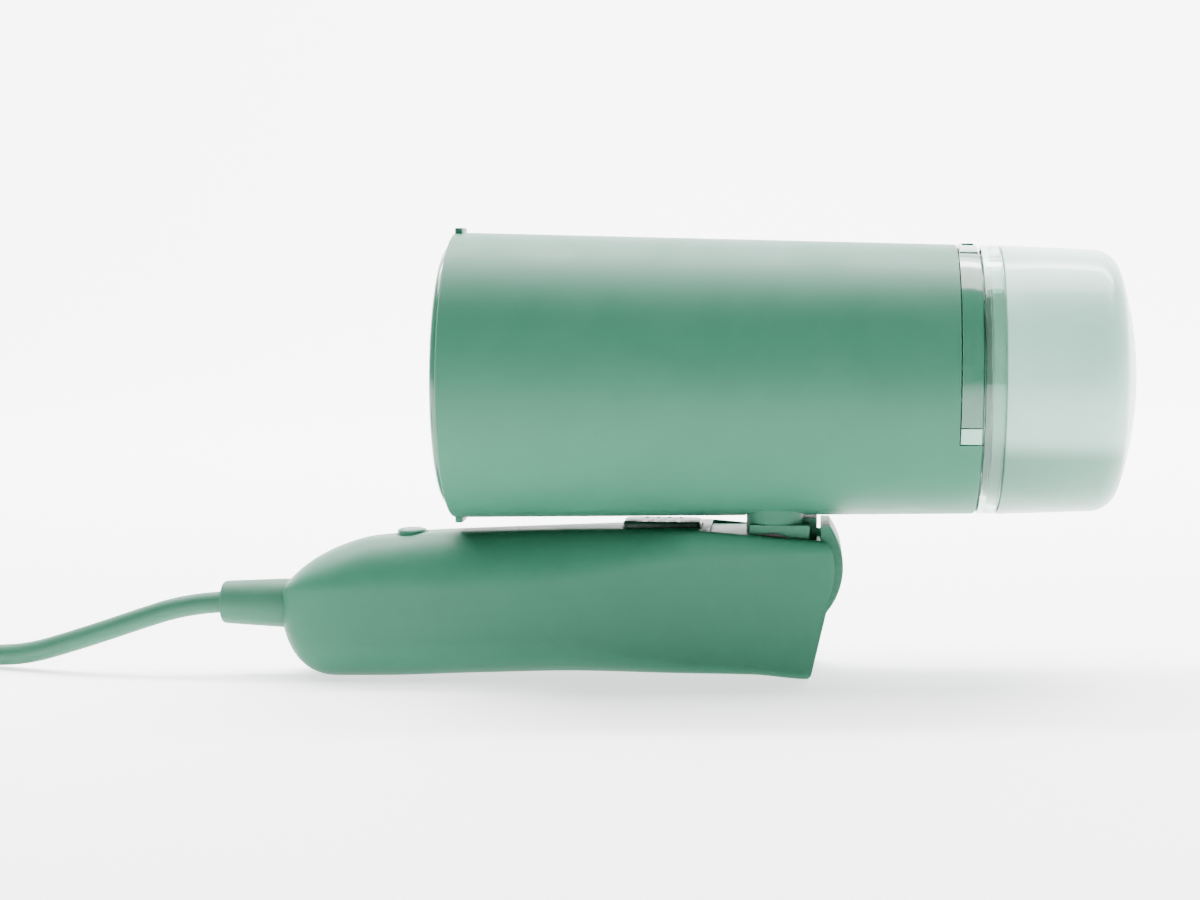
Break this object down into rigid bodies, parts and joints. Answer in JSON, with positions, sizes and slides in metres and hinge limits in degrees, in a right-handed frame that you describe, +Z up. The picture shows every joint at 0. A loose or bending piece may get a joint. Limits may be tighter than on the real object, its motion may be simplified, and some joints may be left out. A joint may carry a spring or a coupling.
{
  "type": "handheld steamer",
  "caption": "Folding handheld garment steamer: tapered barrel with steam plate and clip-off water tank, hinged on a trigger handle with a corded tail.",
  "frame": {"origin": "centre of the folded steamer's footprint, on the surface that the handle's foot and heel rest on; the cord and what is on it are left out", "axes": "+X runs from the steam plate towards the water tank, parallel to the resting surface; +Z is up; +Y is to the left of someone looking along +X. The barrel's own axis slopes 1.3 degrees down towards the tank"},
  "size_m": [0.4801, 0.1066, 0.1191],
  "materials": {
    "satin_green": "satin moulded plastic, very fine texture",
    "gloss_green": "polished moulded plastic",
    "pale_green": "pale translucent plastic",
    "dark_green": "dark satin plastic",
    "clear_tank": "clear tinted plastic",
    "frosted_tank": "frosted translucent plastic",
    "steel": "brushed stainless steel",
    "cast_aluminium": "die cast",
    "copper_winding": "taped copper winding",
    "silicone": "matt silicone",
    "white_plastic": "natural nylon",
    "black_plastic": "black moulded plastic",
    "board": "solder-masked laminate",
    "green_rubber": "soft PVC",
    "brass": "nickelled brass"
  },
  "bodies": {
    "handle": {"handle_shell_left": "satin_green", "handle_shell_right": "satin_green", "hinge_pin": "steel", "handle_screw_1": "steel", "handle_screw_2": "steel", "handle_screw_3": "steel", "micro_switch": "black_plastic", "circuit_board": "board", "power_switch": "black_plastic", "trigger_spring": "steel", "cord_clamp": "black_plastic", "strain_relief": "green_rubber", "power_cord": "green_rubber", "cord_coil": "green_rubber", "plug_lead": "green_rubber", "cord_tie": "black_plastic", "plug_body": "black_plastic", "plug_pin_left": "brass", "plug_pin_right": "brass"},
    "barrel": {"barrel_shell": "satin_green", "latch_band": "gloss_green", "band_pad_left": "pale_green", "band_pad_right": "pale_green", "front_ring": "gloss_green", "steam_plate": "steel", "plate_seal": "silicone", "boiler_body": "cast_aluminium", "heating_element": "steel", "boiler_cover": "cast_aluminium", "thermostat": "black_plastic", "thermal_fuse": "steel", "pump_body": "white_plastic", "pump_coil": "copper_winding", "pump_shelf": "white_plastic", "outlet_hose": "silicone", "inlet_hose": "silicone", "tank_dock": "white_plastic", "dock_seal": "silicone", "hinge_drum": "satin_green", "neck_clamp": "black_plastic", "hinge_washer_left": "black_plastic", "hinge_washer_right": "black_plastic"},
    "tank": {"water_tank": "frosted_tank", "tank_collar": "clear_tank", "tank_spigot": "white_plastic", "tank_end_plate": "white_plastic", "tank_seal": "silicone", "valve_body": "white_plastic", "valve_spring": "steel", "suction_tube": "silicone"},
    "release_button": {"release_button": "gloss_green"},
    "valve_plunger": {"valve_plunger": "white_plastic"},
    "filler_stopper": {"filler_stopper": "silicone"},
    "trigger": {"trigger": "dark_green"},
    "power_button": {"power_button": "satin_green"}
  },
  "joints": [
    {"name": "barrel_fold", "type": "hinge", "parent": "handle", "child": "barrel", "pos_m": [0.01853, 0, 0.02919], "axis": [0, 1, 0], "range_deg": [0, 104]},
    {"name": "tank_slide", "type": "slide", "parent": "barrel", "child": "tank", "axis": [0.9997, 0, -0.0227], "range_m": [0, 0.05]},
    {"name": "release_press", "type": "slide", "parent": "barrel", "child": "release_button", "axis": [-0.0227, 0, -0.9997], "range_m": [0, 0.0013], "stiffness_N_per_m": 600},
    {"name": "stopper_pull", "type": "slide", "parent": "tank", "child": "filler_stopper", "axis": [-0.9997, 0, 0.0227], "range_m": [0, 0.0065]},
    {"name": "valve_open", "type": "slide", "parent": "tank", "child": "valve_plunger", "axis": [0.9997, 0, -0.0227], "range_m": [0, 0.0018], "stiffness_N_per_m": 300, "deforming": ["valve_spring"]},
    {"name": "trigger_press", "type": "slide", "parent": "handle", "child": "trigger", "axis": [-0.0227, 0, -0.9997], "range_m": [0, 0.0016], "stiffness_N_per_m": 500, "deforming": ["trigger_spring"]},
    {"name": "power_press", "type": "slide", "parent": "handle", "child": "power_button", "axis": [-0.0227, 0, -0.9997], "range_m": [0, 0.0008], "stiffness_N_per_m": 600}
  ]
}
